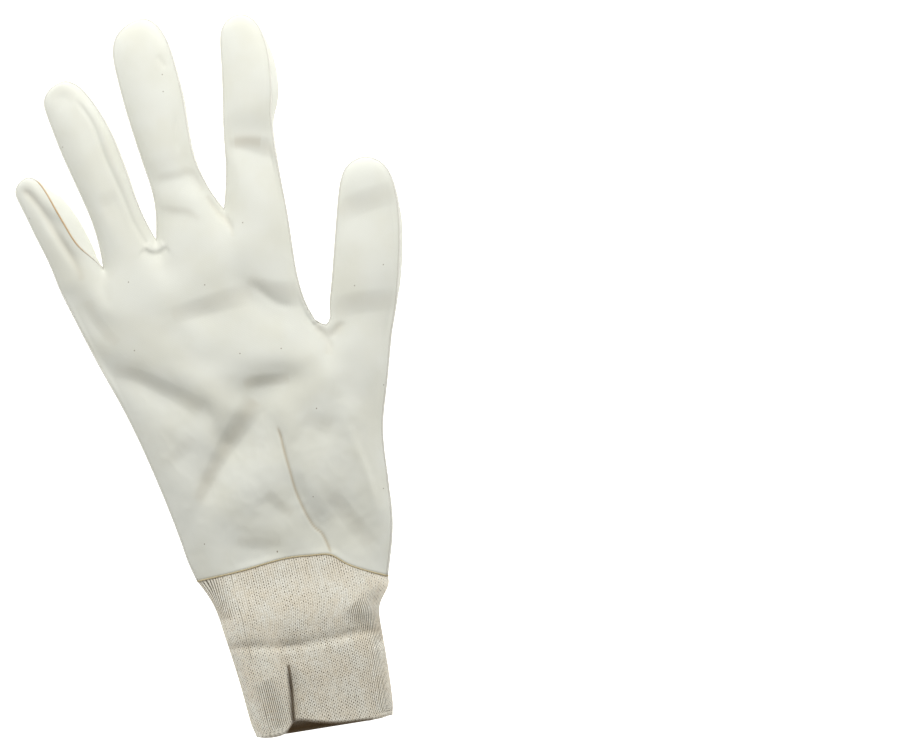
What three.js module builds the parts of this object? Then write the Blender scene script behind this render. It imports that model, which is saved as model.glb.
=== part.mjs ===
// Cotton work glove lying on a flat surface, palm up: a palm sheet and a back sheet of cotton
// drill, sewn together round the hand and the five digits, and a knitted wrist cuff.
// Millimetres, +Z up, +Y towards the fingertips, +X towards the thumb.
import * as THREE from 'three';

// Cloth, knit and seams
const clothThickness = 1.0;
const knitThickness = 1.8;
const seamGap = 0.3;
const seamRoll = 0.5; // how far the back sheet wraps over the edge before it meets the palm
const edgeHeight = 3.0; // height of the outermost edge above the surface
const underRound = 4.0; // width of the curl under the edge

// Rise of the palm sheet above the outermost edge
const fingerLoft = 6.0;
const palmLoft = 9.0;
const edgeRound = 10.5; // distance from the edge over which a finger's front rises
const palmRound = 34; // distance from the edge over which the palm rises
const heelRise = 0.35; // share of the palm's length over which it rises from the wrist
const foldMargin = 2.0; // distance from the edge over which the folds fade out

// Hand, from the cuff's seam to the roots of the fingers and thumb
const wristWidth = 69.7;
const wristTilt = 1.8;
const littleSideLength = 116.5;
const littleSideLean = -25.3;
const thumbSideLength = 88.6;
const thumbSideLean = 1.0;
const thumbLevel = 0.87; // share of the little finger's side that is level with the thumb's crotch

// Cuff
const cuffLength = 55.5;
const cuffWidth = 51;
const cuffLean = 12.9;
const cuffLoft = 7.0;
const cuffRound = 8;
const cuffSettle = 0.3; // share of the cuff over which it takes its own section
const seamBendReach = 0.9; // share of the cuff over which the seam's bow dies out
const hemLiftReach = 0.6; // share of the cuff over which the hem's lift grows
const cuffRowClearance = 0.03; // least share of the cuff from the seam's end to the first row

// Digits: the length from the root to the tip, the width across, and the root between crotches
const littleLength = 42.4;
const littleWidth = 18;
const littleRoot = 18.0;
const ringLength = 67.6;
const ringWidth = 20;
const ringRoot = 21.8;
const middleLength = 76.9;
const middleWidth = 22.5;
const middleRoot = 27.0;
const indexLength = 71.4;
const indexWidth = 20;
const indexRoot = 23.3;
const thumbLength = 63.0;
const thumbWidth = 25;
const thumbRoot = 24.3;

// Digits from the little finger to the thumb. rootTilt is the slope of the line between its
// crotches and lean its tilt from +Y towards the thumb, in degrees. roundLeft and roundRight are
// the shares of the length where each side starts to round over to the tip, rows its mesh rows.
const digits = [
  { name: 'little', length: littleLength, width: littleWidth, root: littleRoot,
    rootTilt: 26.3, lean: -29.3, roundLeft: 0.90, roundRight: 0.69, rows: 7 },
  { name: 'ring', length: ringLength, width: ringWidth, root: ringRoot,
    rootTilt: 28.9, lean: -21.7, roundLeft: 0.91, roundRight: 0.76, rows: 9 },
  { name: 'middle', length: middleLength, width: middleWidth, root: middleRoot,
    rootTilt: 24.7, lean: -13.6, roundLeft: 0.86, roundRight: 0.80, rows: 10 },
  { name: 'index', length: indexLength, width: indexWidth, root: indexRoot,
    rootTilt: -2.0, lean: -4.8, roundLeft: 0.88, roundRight: 0.84, rows: 9 },
  { name: 'thumb', length: thumbLength, width: thumbWidth, root: thumbRoot,
    rootTilt: -2.6, lean: 2.5, roundLeft: 0.84, roundRight: 0.80, rows: 8 },
];
const rootClearance = 0.05; // least share of a digit's length from its crotch to the first row
const beyondTip = 1.1; // share of a digit's length that its sides are carried to, past the tip
const rollRoot = 0.3; // share of a digit's side over which the roll grows from the crotch
const rollTipPower = 8; // how suddenly the roll dies out at the tip
const thumb = digits[4];
const fingers = digits.slice(0, 4);

// Each side of a digit, measured from its centre line: along is a share of the length,
// left, right and roll (how far the back sheet wraps over each side) are shares of the width.
const digitSides = {
  little: [
    { along: 0.25, left: 0.42, right: 0.56, rollLeft: 0.03, rollRight: 0.31 },
    { along: 0.50, left: 0.40, right: 0.57, rollLeft: 0.03, rollRight: 0.32 },
    { along: 0.75, left: 0.36, right: 0.47, rollLeft: 0.03, rollRight: 0.25 },
    { along: 0.92, left: 0.35, right: 0.40, rollLeft: 0.03, rollRight: 0.12 },
  ],
  ring: [
    { along: 0.20, left: 0.44, right: 0.50, rollLeft: 0.03, rollRight: 0.05 },
    { along: 0.40, left: 0.46, right: 0.54, rollLeft: 0.03, rollRight: 0.05 },
    { along: 0.65, left: 0.50, right: 0.545, rollLeft: 0.03, rollRight: 0.05 },
    { along: 0.85, left: 0.485, right: 0.45, rollLeft: 0.03, rollRight: 0.05 },
  ],
  middle: [
    { along: 0.15, left: 0.48, right: 0.44, rollLeft: 0.03, rollRight: 0.05 },
    { along: 0.32, left: 0.53, right: 0.35, rollLeft: 0.03, rollRight: 0.05 },
    { along: 0.60, left: 0.60, right: 0.42, rollLeft: 0.03, rollRight: 0.05 },
    { along: 0.80, left: 0.605, right: 0.40, rollLeft: 0.03, rollRight: 0.05 },
  ],
  index: [
    { along: 0.20, left: 0.50, right: 0.50, rollLeft: 0.03, rollRight: 0.05 },
    { along: 0.33, left: 0.49, right: 0.48, rollLeft: 0.03, rollRight: 0.05 },
    { along: 0.42, left: 0.49, right: 0.44, rollLeft: 0.03, rollRight: 0.05 },
    { along: 0.55, left: 0.46, right: 0.60, rollLeft: 0.03, rollRight: 0.15 },
    { along: 0.75, left: 0.42, right: 0.58, rollLeft: 0.03, rollRight: 0.13 },
    { along: 0.90, left: 0.42, right: 0.44, rollLeft: 0.03, rollRight: 0.05 },
  ],
  thumb: [
    { along: 0.20, left: 0.46, right: 0.56, rollLeft: 0.03, rollRight: 0.05 },
    { along: 0.45, left: 0.44, right: 0.585, rollLeft: 0.03, rollRight: 0.05 },
    { along: 0.70, left: 0.42, right: 0.54, rollLeft: 0.03, rollRight: 0.05 },
    { along: 0.85, left: 0.40, right: 0.46, rollLeft: 0.03, rollRight: 0.05 },
  ],
};

// Bows of the hand's free sides, out to the left of the way up: both columns are shares of the
// straight distance between the side's ends.
const littleSideBow = [
  { along: 0, out: 0 }, { along: 0.05, out: 0.003 }, { along: 0.14, out: -0.008 },
  { along: 0.34, out: -0.020 }, { along: 0.55, out: -0.022 }, { along: 0.76, out: -0.008 },
  { along: 1, out: 0 },
];
const thumbSideBow = [
  { along: 0, out: 0 }, { along: 0.20, out: -0.017 }, { along: 0.38, out: 0.002 },
  { along: 0.60, out: 0.031 }, { along: 0.78, out: 0.016 }, { along: 1, out: 0 },
];
const webBow = [
  { along: 0, out: 0 }, { along: 0.10, out: 0.066 }, { along: 0.30, out: 0.090 },
  { along: 0.50, out: 0.082 }, { along: 0.75, out: 0.040 }, { along: 1, out: 0 },
];
// Rise of the cuff's seam above the straight line across the wrist, both in shares of its width
const wristSeam = [
  { across: 0, rise: 0 }, { across: 0.22, rise: 0.045 }, { across: 0.46, rise: 0.105 },
  { across: 0.60, rise: 0.118 }, { across: 0.72, rise: 0.118 }, { across: 0.78, rise: 0.072 },
  { across: 0.88, rise: 0.035 }, { across: 1, rise: 0 },
];

// Dents, positive depth, and ridges, negative depth. Each runs from one point to another,
// across and up in shares of the hand, width and depth in shares of the wrist's width and the
// loft. steep above 0 sharpens its left side, seen from its start, and below 0 its right side.
const palmFolds = [
  { from: [0.05, 0.85], to: [0.32, 0.68], width: 0.055, depth: 0.30, steep: 0.5 },
  { from: [0.47, 0.76], to: [0.65, 0.80], width: 0.060, depth: 0.42, steep: 0.2 },
  { from: [0.52, 0.70], to: [0.36, 0.54], width: 0.080, depth: 0.34, steep: -0.3 },
  { from: [0.36, 0.54], to: [0.21, 0.38], width: 0.055, depth: 0.24, steep: -0.3 },
  { from: [0.23, 0.58], to: [0.10, 0.48], width: 0.045, depth: 0.12, steep: 0 },
  { from: [0.66, 0.70], to: [0.78, 0.60], width: 0.060, depth: 0.14, steep: 0 },
  { from: [0.32, 0.92], to: [0.42, 0.86], width: 0.050, depth: 0.12, steep: 0 },
  { from: [0.58, 0.60], to: [0.60, 0.36], width: 0.050, depth: 0.14, steep: 0.4 },
  { from: [0.60, 0.36], to: [0.74, 0.06], width: 0.050, depth: 0.20, steep: 0.4 },
  { from: [0.80, 0.86], to: [0.94, 0.28], width: 0.035, depth: -0.12, steep: 0 },
  { from: [0.77, 0.30], to: [0.88, 0.14], width: 0.045, depth: 0.18, steep: 0 },
  { from: [0.46, 0.31], to: [0.58, 0.25], width: 0.045, depth: 0.10, steep: 0 },
  { from: [0.22, 0.15], to: [0.44, 0.13], width: 0.055, depth: 0.12, steep: 0 },
  { from: [0.79, 0.99], to: [0.80, 0.88], width: 0.040, depth: 0.24, steep: 0 },
  { from: [0.86, 0.84], to: [0.90, 0.74], width: 0.050, depth: 0.16, steep: 0 },
  { from: [0.52, 0.90], to: [0.72, 0.88], width: 0.050, depth: -0.08, steep: 0 },
  { from: [0.30, 0.78], to: [0.44, 0.70], width: 0.070, depth: -0.12, steep: 0 },
];
const knuckleFolds = [
  { from: [0.05, 0.80], to: [0.10, 0.00], width: 0.045, depth: 0.16, steep: 0 },
  { from: [0.17, 0.95], to: [0.17, 0.62], width: 0.030, depth: 0.14, steep: 0 },
  { from: [0.36, 0.14], to: [0.56, 0.26], width: 0.075, depth: 0.12, steep: 0 },
  { from: [0.56, 0.26], to: [0.78, 0.48], width: 0.075, depth: 0.14, steep: 0 },
  { from: [0.75, 0.50], to: [0.84, 0.18], width: 0.060, depth: 0.24, steep: 0 },
  { from: [0.43, 0.97], to: [0.46, 0.82], width: 0.045, depth: 0.18, steep: 0 },
  { from: [0.90, 0.14], to: [0.98, -0.04], width: 0.035, depth: 0.14, steep: 0 },
];
const digitFolds = {
  little: [
    { from: [0.30, 0.88], to: [0.50, 0.55], width: 0.10, depth: 0.20, steep: 0 },
    { from: [0.50, 0.55], to: [0.50, 0.10], width: 0.11, depth: 0.24, steep: 0 },
  ],
  ring: [
    { from: [0.62, 0.86], to: [0.73, 0.60], width: 0.10, depth: 0.14, steep: 0.4 },
    { from: [0.73, 0.60], to: [0.76, 0.05], width: 0.11, depth: 0.20, steep: 0.4 },
  ],
  middle: [
    { from: [0.80, 0.78], to: [0.80, 0.30], width: 0.09, depth: 0.14, steep: 0.4 },
    { from: [0.82, 0.24], to: [0.88, 0.02], width: 0.10, depth: 0.26, steep: 0 },
    { from: [0.22, 0.24], to: [0.80, 0.27], width: 0.13, depth: 0.16, steep: 0 },
    { from: [0.14, 0.07], to: [0.50, 0.05], width: 0.13, depth: 0.14, steep: 0 },
  ],
  index: [
    { from: [0.22, 0.345], to: [0.95, 0.365], width: 0.19, depth: 0.42, steep: -0.3 },
    { from: [0.78, 0.33], to: [0.62, 0.26], width: 0.14, depth: 0.16, steep: 0 },
  ],
  thumb: [
    { from: [0.15, 0.68], to: [0.86, 0.79], width: 0.20, depth: 0.16, steep: 0 },
    { from: [0.10, 0.08], to: [0.90, 0.20], width: 0.18, depth: 0.13, steep: 0 },
  ],
};

// Sides of the cuff: down is a share of its length, left and right are distances from its
// centre line in shares of the hem's width.
const cuffSides = [
  { down: 0.03, left: 0.600, right: 0.690 },
  { down: 0.13, left: 0.580, right: 0.680 },
  { down: 0.20, left: 0.573, right: 0.668 },
  { down: 0.28, left: 0.566, right: 0.568 },
  { down: 0.40, left: 0.553, right: 0.548 },
  { down: 0.60, left: 0.536, right: 0.537 },
  { down: 0.85, left: 0.525, right: 0.516 },
  { down: 1.1, left: 0.505, right: 0.485 },
];
const hemSkew = 0.03; // share of the cuff's length by which the hem's ends lie up and down
// The cuff's upper layer stops short of the lower one, by shares of the cuff's length
const hemLift = [
  { across: 0, lift: 0 }, { across: 0.24, lift: 0.01 }, { across: 0.30, lift: 0.075 },
  { across: 0.60, lift: 0.045 }, { across: 0.85, lift: 0.035 }, { across: 1, lift: 0 },
];
// Across and down in shares of the cuff, width of its hem's width, depth of its loft
const cuffFolds = [
  { from: [0.10, 0.50], to: [0.42, 0.47], width: 0.060, depth: 0.15, steep: 0 },
  { from: [0.42, 0.47], to: [0.95, 0.38], width: 0.060, depth: 0.20, steep: 0 },
  { from: [0.26, 1.05], to: [0.33, 0.55], width: 0.075, depth: 0.22, steep: 0.5 },
  { from: [0.16, 1.05], to: [0.27, 0.55], width: 0.090, depth: -0.18, steep: -0.4 },
  { from: [0.10, 0.25], to: [0.85, 0.20], width: 0.110, depth: -0.08, steep: 0 },
];

// Mesh: columns across each digit's width, and rows along each stretch of the hand
const frontColumns = [0, 0.14, 0.40, 0.68, 0.86, 1];
const backColumns = [0, 0.10, 0.32, 0.68, 0.90, 1];
const palmRows = 14;
const knuckleRows = 6;
const cuffRows = 12;
const tipTurns = [0.35, 0.62, 0.84, 1]; // shares of a quarter turn round each tip
const wristFingerShare = 0.72; // share of the wrist's width below the four fingers
const evenPasses = 3; // rounds of evening out the rise, so no ridge marks its middle line

const degrees = Math.PI / 180;
const partWay = (a, b, t) => a.clone().lerp(b, t);
const leaning = (degreesFromY) =>
  new THREE.Vector2(Math.sin(degreesFromY * degrees), Math.cos(degreesFromY * degrees));
const sloping = (degreesFromX) =>
  new THREE.Vector2(Math.cos(degreesFromX * degrees), Math.sin(degreesFromX * degrees));
const clamped = (t) => Math.min(1, Math.max(0, t));
const eased = (t) => clamped(t) ** 2 * (3 - 2 * clamped(t));
const dome = (t) => Math.sqrt(1 - (1 - clamped(t)) ** 2);

// Value of one column of a table at a place between its rows, on a smooth curve
function follow(rows, key, column, at) {
  let i = 0;
  while (i < rows.length - 2 && at > rows[i + 1][key]) i += 1;
  const slope = (k) => {
    const a = rows[Math.max(0, k - 1)];
    const b = rows[Math.min(rows.length - 1, k + 1)];
    return (b[column] - a[column]) / (b[key] - a[key]);
  };
  const step = rows[i + 1][key] - rows[i][key];
  const t = clamped((at - rows[i][key]) / step);
  return (2 * t ** 3 - 3 * t ** 2 + 1) * rows[i][column] + (t ** 3 - 2 * t ** 2 + t) * slope(i) * step
    + (3 * t ** 2 - 2 * t ** 3) * rows[i + 1][column] + (t ** 3 - t ** 2) * slope(i + 1) * step;
}

// Straight line between two corners of the hand, bowed out to its left by a table
function bowed(start, end, bow) {
  const run = end.clone().sub(start);
  const left = new THREE.Vector2(-run.y, run.x);
  return (t) => partWay(start, end, t).addScaledVector(left, follow(bow, 'along', 'out', t));
}

// Corners of the hand in the plan view, from the middle of the wrist
const wristAcross = sloping(wristTilt);
const wristLeft = wristAcross.clone().multiplyScalar(-wristWidth / 2);
const wristRight = wristAcross.clone().multiplyScalar(wristWidth / 2);
const littleCorner = wristLeft.clone().addScaledVector(leaning(littleSideLean), littleSideLength);
const thumbCorner = wristRight.clone().addScaledVector(leaning(thumbSideLean), thumbSideLength);
const webCorner = thumbCorner.clone().addScaledVector(sloping(thumb.rootTilt), -thumb.root);
const roots = [littleCorner];
for (const finger of fingers) {
  roots.push(roots[roots.length - 1].clone().addScaledVector(sloping(finger.rootTilt), finger.root));
}
const littleSide = bowed(wristLeft, littleCorner, littleSideBow);
const thumbSide = bowed(wristRight, thumbCorner, thumbSideBow);
const webSide = bowed(webCorner, roots[4], webBow);

function wristCurve(across) {
  const rise = follow(wristSeam, 'across', 'rise', across) * wristWidth;
  const up = new THREE.Vector2(-wristAcross.y, wristAcross.x);
  return partWay(wristLeft, wristRight, across).addScaledVector(up, rise);
}

// One side of a digit: side is 'left' or 'right', t runs from the crotch to the tip
function digitSide(digit, corners, side) {
  const [from, to] = corners;
  const axis = leaning(digit.lean);
  const outward = new THREE.Vector2(axis.y, -axis.x).multiplyScalar(side === 'left' ? -1 : 1);
  const middle = partWay(from, to, 0.5);
  const corner = (side === 'left' ? from : to).clone().sub(middle);
  const start = corner.dot(axis) / digit.length;
  const rounding = side === 'left' ? digit.roundLeft : digit.roundRight;
  const table = digitSides[digit.name].filter((row) => row.along > start + rootClearance);
  const rows = [
    { along: start, left: corner.dot(outward) / digit.width, right: corner.dot(outward) / digit.width },
    ...table,
    { along: beyondTip, left: table[table.length - 1].left, right: table[table.length - 1].right },
  ];
  return (t) => {
    const along = start + (1 - start) * t;
    const turn = clamped((along - rounding) / (1 - rounding));
    const out = follow(rows, 'along', side, along) * digit.width * Math.sqrt(1 - turn ** 2);
    return middle.clone().addScaledVector(axis, along * digit.length).addScaledVector(outward, out);
  };
}

// How far the back sheet wraps over one side of a digit
function digitRoll(digit, side, t) {
  const column = side === 'left' ? 'rollLeft' : 'rollRight';
  const share = follow(digitSides[digit.name], 'along', column, t);
  const grown = eased(t / rollRoot) * (1 - t ** rollTipPower);
  return Math.max(seamRoll, share * digit.width * grown);
}

// Places of the mesh rows along a digit's side, closer together round the tip
const digitSteps = (digit) => {
  const tipStart = (digit.roundLeft + digit.roundRight) / 2;
  const body = Array.from({ length: digit.rows + 1 }, (_, j) => (tipStart * j) / digit.rows);
  const tip = tipTurns.map((turn) => tipStart + (1 - tipStart) * Math.sin((turn * Math.PI) / 2));
  return [...body, ...tip];
};

// Outline of the hand in order round it, from the little finger's side of the cuff
const handCorners = fingers.map((finger, k) => [roots[k], roots[k + 1]]);
handCorners.push([webCorner, thumbCorner]);
const outline = [];
const marks = { littleSide: [], left: [], right: [], webSide: [], thumbSide: [] };
function addOutline(point, roll) {
  outline.push({ point, roll });
  return outline.length - 1;
}
for (let j = 0; j <= palmRows; j += 1) {
  marks.littleSide.push(addOutline(littleSide((thumbLevel * j) / palmRows), seamRoll));
}
for (let j = 1; j <= knuckleRows; j += 1) {
  const t = thumbLevel + ((1 - thumbLevel) * j) / knuckleRows;
  marks.littleSide.push(addOutline(littleSide(t), seamRoll));
}
function addDigit(k, first) {
  const digit = digits[k];
  const steps = digitSteps(digit);
  const leftSide = digitSide(digit, handCorners[k], 'left');
  const rightSide = digitSide(digit, handCorners[k], 'right');
  const last = steps.length - 1;
  marks.left[k] = [first];
  for (let j = 1; j <= last; j += 1) {
    marks.left[k].push(addOutline(leftSide(steps[j]), digitRoll(digit, 'left', steps[j])));
  }
  const down = [marks.left[k][last]];
  for (let j = last - 1; j > 0; j -= 1) {
    down.push(addOutline(rightSide(steps[j]), digitRoll(digit, 'right', steps[j])));
  }
  down.push(addOutline(handCorners[k][1], seamRoll));
  marks.right[k] = down.reverse();
}
let corner = marks.littleSide[palmRows + knuckleRows];
for (let k = 0; k < fingers.length; k += 1) {
  addDigit(k, corner);
  corner = marks.right[k][0];
}
marks.webSide[knuckleRows] = corner;
for (let j = knuckleRows - 1; j >= 0; j -= 1) {
  marks.webSide[j] = addOutline(webSide(j / knuckleRows), seamRoll);
}
addDigit(4, marks.webSide[0]);
marks.thumbSide[palmRows] = marks.right[4][0];
for (let j = palmRows - 1; j >= 0; j -= 1) {
  marks.thumbSide[j] = addOutline(thumbSide(j / palmRows), seamRoll);
}

// Rise of the cloth over the surface, by the distance in from the outermost edge
function riseFromEdge(distance, loft, round) {
  return edgeHeight + loft * dome(distance / round);
}
function curlUnder(distance) {
  return edgeHeight * (1 - dome(distance / underRound));
}

// The seam follows the outline, rolled in over the edge; the two sheets stop either side of it
const slopeStep = edgeRound / 200;
outline.forEach((entry, i) => {
  const before = outline[Math.max(0, i - 1)].point;
  const after = outline[Math.min(outline.length - 1, i + 1)].point;
  const run = (a, b) => b.clone().sub(a).normalize();
  const ways = [];
  if (i > 0) ways.push(run(before, entry.point));
  if (i < outline.length - 1) ways.push(run(entry.point, after));
  const outward = new THREE.Vector2();
  for (const way of ways) outward.add(new THREE.Vector2(-way.y, way.x));
  outward.normalize();
  const low = riseFromEdge(entry.roll - slopeStep, fingerLoft, edgeRound);
  const high = riseFromEdge(entry.roll + slopeStep, fingerLoft, edgeRound);
  const climb = new THREE.Vector2(2 * slopeStep, high - low).normalize();
  const seam = entry.point.clone().addScaledVector(outward, -entry.roll);
  entry.outward = new THREE.Vector3(outward.x, outward.y, 0);
  entry.edge = new THREE.Vector3(entry.point.x, entry.point.y, edgeHeight);
  entry.seam = new THREE.Vector3(seam.x, seam.y, riseFromEdge(entry.roll, fingerLoft, edgeRound));
  entry.climb = entry.outward.clone().multiplyScalar(-climb.x).setZ(climb.y);
  entry.facing = entry.outward.clone().multiplyScalar(climb.y).setZ(climb.x);
});

function distanceToEdge(point) {
  let best = Infinity;
  for (let i = 0; i < outline.length - 1; i += 1) {
    const a = outline[i].point;
    const run = outline[i + 1].point.clone().sub(a);
    const t = clamped(point.clone().sub(a).dot(run) / run.lengthSq());
    best = Math.min(best, a.clone().addScaledVector(run, t).distanceTo(point));
  }
  return best;
}

// Height of all folds of a list at a point. Each fold holds its ends, width and depth in mm.
function foldRise(folds, point) {
  let rise = 0;
  for (const fold of folds) {
    const run = fold.end.clone().sub(fold.start);
    const offset = point.clone().sub(fold.start);
    const t = clamped(offset.dot(run) / run.lengthSq());
    const gap = offset.addScaledVector(run, -t);
    const side = Math.sign(run.x * gap.y - run.y * gap.x);
    const width = fold.width * (1 - fold.steep * side);
    rise -= fold.depth * Math.exp(-((gap.length() / width) ** 2));
  }
  return rise;
}
function placedFolds(table, place, widthUnit, depthUnit) {
  return table.map((row) => ({
    start: place(...row.from),
    end: place(...row.to),
    width: row.width * widthUnit,
    depth: row.depth * depthUnit,
    steep: row.steep,
  }));
}
const onPalm = (across, up) => partWay(littleSide(up * thumbLevel), thumbSide(up), across);
const onKnuckles = (across, up) =>
  partWay(littleSide(thumbLevel + (1 - thumbLevel) * up), webSide(up), across);
const handFolds = [
  ...placedFolds(palmFolds, onPalm, wristWidth, palmLoft),
  ...placedFolds(knuckleFolds, onKnuckles, wristWidth, palmLoft),
];
digits.forEach((digit, k) => {
  const left = digitSide(digit, handCorners[k], 'left');
  const right = digitSide(digit, handCorners[k], 'right');
  const onDigit = (across, along) => partWay(left(along), right(along), across);
  handFolds.push(...placedFolds(digitFolds[digit.name], onDigit, digit.width, fingerLoft));
});

// A sheet under construction: outer points, quads that face out, and the way to the inside
class Sheet {
  constructor(thickness) {
    this.thickness = thickness;
    this.points = [];
    this.fixedFacing = new Map();
    this.faces = [];
  }

  add(point, facing = null) {
    this.points.push(point.clone());
    if (facing) this.fixedFacing.set(this.points.length - 1, facing.clone().normalize());
    return this.points.length - 1;
  }

  // Joins two rows of point numbers into quads, or triangles where points repeat
  join(lower, upper) {
    for (let i = 0; i < lower.length - 1; i += 1) {
      const loop = [lower[i], lower[i + 1], upper[i + 1], upper[i]];
      this.faces.push(loop.filter((p, n) => p !== loop[(n + 1) % loop.length]));
    }
  }

  neighbours() {
    const near = this.points.map(() => new Set());
    for (const face of this.faces) {
      face.forEach((p, n) => {
        const q = face[(n + 1) % face.length];
        near[p].add(q);
        near[q].add(p);
      });
    }
    return near;
  }

  evenOut(held, passes) {
    const near = this.neighbours();
    for (let pass = 0; pass < passes; pass += 1) {
      const heights = this.points.map((p, i) => {
        if (held.has(i)) return p.z;
        const around = [...near[i]].reduce((sum, n) => sum + this.points[n].z, 0) / near[i].size;
        return (p.z + around) / 2;
      });
      heights.forEach((z, i) => { this.points[i].z = z; });
    }
  }

  // Closed body: the outer faces, the same faces one thickness in, and the rims between them
  body(name, material) {
    const facings = this.points.map(() => new THREE.Vector3());
    for (const face of this.faces) {
      const [a, b, c] = face.map((i) => this.points[i]);
      const last = this.points[face[face.length - 1]];
      const normal = new THREE.Vector3().crossVectors(c.clone().sub(a), last.clone().sub(b));
      if (face.length === 3) normal.crossVectors(b.clone().sub(a), c.clone().sub(a));
      for (const i of face) facings[i].add(normal);
    }
    for (const [i, facing] of this.fixedFacing) facings[i].copy(facing);
    const count = this.points.length;
    const inner = this.points.map((p, i) =>
      p.clone().addScaledVector(facings[i].normalize(), -this.thickness));
    const corners = [...this.points, ...inner];
    const triangles = [];
    const addFace = (loop) => {
      for (let n = 1; n < loop.length - 1; n += 1) triangles.push(loop[0], loop[n], loop[n + 1]);
    };
    for (const face of this.faces) {
      addFace(face);
      addFace(face.map((i) => i + count).reverse());
    }
    const edges = new Set();
    for (const face of this.faces) {
      face.forEach((p, n) => edges.add(`${p},${face[(n + 1) % face.length]}`));
    }
    for (const edge of edges) {
      const [p, q] = edge.split(',').map(Number);
      if (!edges.has(`${q},${p}`)) addFace([q, p, p + count, q + count]);
    }
    const geometry = new THREE.BufferGeometry();
    const flat = corners.flatMap((p) => [p.x, p.y, p.z]);
    geometry.setAttribute('position', new THREE.Float32BufferAttribute(flat, 3));
    geometry.setIndex(triangles);
    const mesh = new THREE.Mesh(geometry, material);
    mesh.name = name;
    return mesh;
  }
}

// Lays rows of points over the whole hand inside a rim. rim(i) is the point on the rim at an
// outline number, columns the places across each digit, make(point) adds one inner point.
function layHand(sheet, rim, columns, wristPoint, make) {
  const rimPoint = (i) => sheet.points[rim[i]];
  const perDigit = columns.length - 1;
  const fingerColumns = perDigit * fingers.length;
  const total = fingerColumns + perDigit;
  const plan = (p) => new THREE.Vector2(p.x, p.y);
  // Column places along the wrist and along the line level with the thumb's crotch
  const rootTotal = fingers.reduce((sum, finger) => sum + finger.root, 0);
  const wristShare = [];
  const levelShare = [];
  let rootsBefore = 0;
  fingers.forEach((finger, k) => {
    for (let c = 0; c < perDigit; c += 1) {
      const even = c / perDigit;
      wristShare.push((wristFingerShare * (k + even)) / fingers.length);
      levelShare.push((rootsBefore + (finger.root * (columns[c] + even)) / 2) / rootTotal);
    }
    rootsBefore += finger.root;
  });
  for (let c = 0; c <= perDigit; c += 1) {
    wristShare.push(wristFingerShare + ((1 - wristFingerShare) * c) / perDigit);
  }
  const level = [];
  const left = marks.littleSide.map((i) => plan(rimPoint(i)));
  const web = marks.webSide.map((i) => plan(rimPoint(i)));
  const right = marks.thumbSide.map((i) => plan(rimPoint(i)));
  for (let i = 0; i < fingerColumns; i += 1) level.push(partWay(left[palmRows], web[0], levelShare[i]));
  for (const c of columns) level.push(partWay(web[0], right[palmRows], c));
  const patch = (j, rows, i, count, bottom, top, sideA, sideB, share) => {
    const v = j / rows;
    const straight = partWay(bottom[i], top[i], v);
    const u = share(i, v);
    const pullA = sideA.clone().sub(partWay(bottom[0], top[0], v)).multiplyScalar(1 - u);
    const pullB = sideB.clone().sub(partWay(bottom[count], top[count], v)).multiplyScalar(u);
    return straight.add(pullA).add(pullB);
  };
  const wristRow = wristShare.map((share) => plan(wristPoint(share)));
  const lower = [];
  for (let j = 0; j <= palmRows; j += 1) {
    const row = [];
    for (let i = 0; i <= total; i += 1) {
      if (i === 0) row.push(rim[marks.littleSide[j]]);
      else if (i === total) row.push(rim[marks.thumbSide[j]]);
      else if (j === palmRows && i === fingerColumns) row.push(rim[marks.webSide[0]]);
      else {
        const place = patch(j, palmRows, i, total, wristRow, level, left[j], right[j],
          (n, v) => wristShare[n] + (n / total - wristShare[n]) * v);
        row.push(make(place, j / palmRows, j === 0));
      }
    }
    lower.push(row);
  }
  const rootRow = [];
  fingers.forEach((finger, k) => {
    const a = plan(rimPoint(marks.left[k][0]));
    const b = plan(rimPoint(marks.right[k][0]));
    for (let c = 0; c < perDigit; c += 1) rootRow.push(partWay(a, b, columns[c]));
  });
  rootRow.push(plan(rimPoint(marks.webSide[knuckleRows])));
  const upper = [lower[palmRows].slice(0, fingerColumns + 1)];
  for (let j = 1; j <= knuckleRows; j += 1) {
    const row = [];
    for (let i = 0; i <= fingerColumns; i += 1) {
      const k = i / perDigit;
      if (i === 0) row.push(rim[marks.littleSide[palmRows + j]]);
      else if (i === fingerColumns) row.push(rim[marks.webSide[j]]);
      else if (j === knuckleRows && Number.isInteger(k)) row.push(rim[marks.left[k][0]]);
      else {
        const place = patch(j, knuckleRows, i, fingerColumns, level, rootRow,
          left[palmRows + j], web[j], (n) => n / fingerColumns);
        row.push(make(place, 1, false));
      }
    }
    upper.push(row);
  }
  const rows = { lower, upper, digits: [] };
  digits.forEach((digit, k) => {
    const first = k < fingers.length
      ? upper[knuckleRows].slice(k * perDigit, (k + 1) * perDigit + 1)
      : lower[palmRows].slice(fingerColumns);
    const stack = [first];
    const last = marks.left[k].length - 1;
    for (let j = 1; j < last; j += 1) {
      const a = plan(rimPoint(marks.left[k][j]));
      const b = plan(rimPoint(marks.right[k][j]));
      const inside = columns.slice(1, -1).map((c) => make(partWay(a, b, c), 1, false));
      stack.push([rim[marks.left[k][j]], ...inside, rim[marks.right[k][j]]]);
    }
    stack.push(columns.map(() => rim[marks.left[k][last]]));
    rows.digits.push(stack);
  });
  return rows;
}
function joinHand(sheet, rows, turned) {
  for (const stack of [rows.lower, rows.upper, ...rows.digits]) {
    for (let j = 0; j < stack.length - 1; j += 1) {
      if (turned) sheet.join(stack[j + 1], stack[j]);
      else sheet.join(stack[j], stack[j + 1]);
    }
  }
}

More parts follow.
